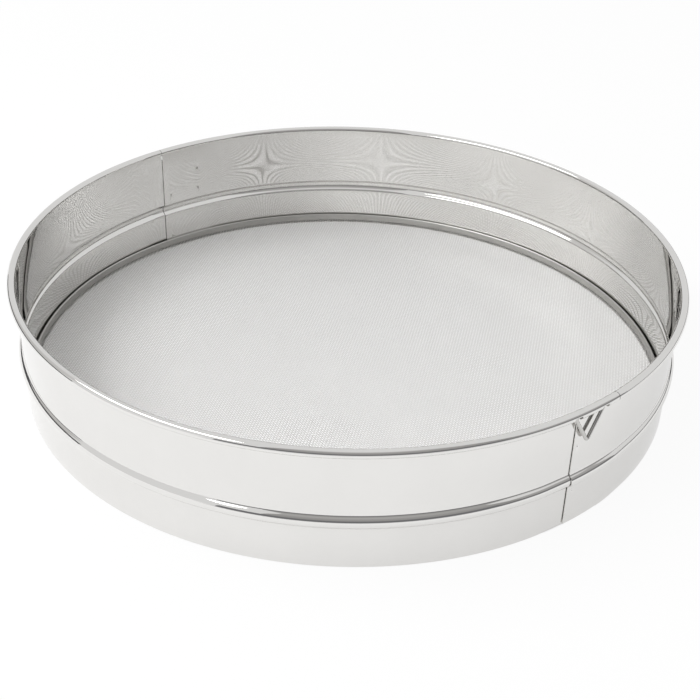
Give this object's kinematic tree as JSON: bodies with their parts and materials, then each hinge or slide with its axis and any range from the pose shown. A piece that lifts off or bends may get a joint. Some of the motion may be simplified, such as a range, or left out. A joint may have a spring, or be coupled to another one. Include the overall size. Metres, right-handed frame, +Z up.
{
  "type": "drum sieve",
  "caption": "Round drum sieve in polished stainless steel: lapped half bands with a beaded wall and rolled rim, a clamped wire mesh and a small hanging loop",
  "frame": {"origin": "on the drum's axis, in the plane of the foot", "axes": "+Z up, out of the open top; -Y towards the hanging loop; +X to the right for someone who faces the loop"},
  "size_m": [0.4059, 0.4059, 0.076],
  "materials": {
    "polished_steel": "bright rolled stainless sheet, polished",
    "drawn_wire": "drawn stainless wire, bright",
    "mesh_wire": "fine plain-woven stainless wire"
  },
  "bodies": {
    "drum": {"left_band": "polished_steel", "right_band": "polished_steel", "rim_wire": "drawn_wire", "woven_mesh": "mesh_wire", "mesh_hoop": "polished_steel"},
    "loop": {"hanging_loop": "drawn_wire"}
  },
  "joints": [
    {"name": "loop_swing", "type": "hinge", "parent": "drum", "child": "loop", "pos_m": [0, -0.2009, 0.0739], "axis": [-1, 0, 0], "range_deg": [0, 45]}
  ]
}
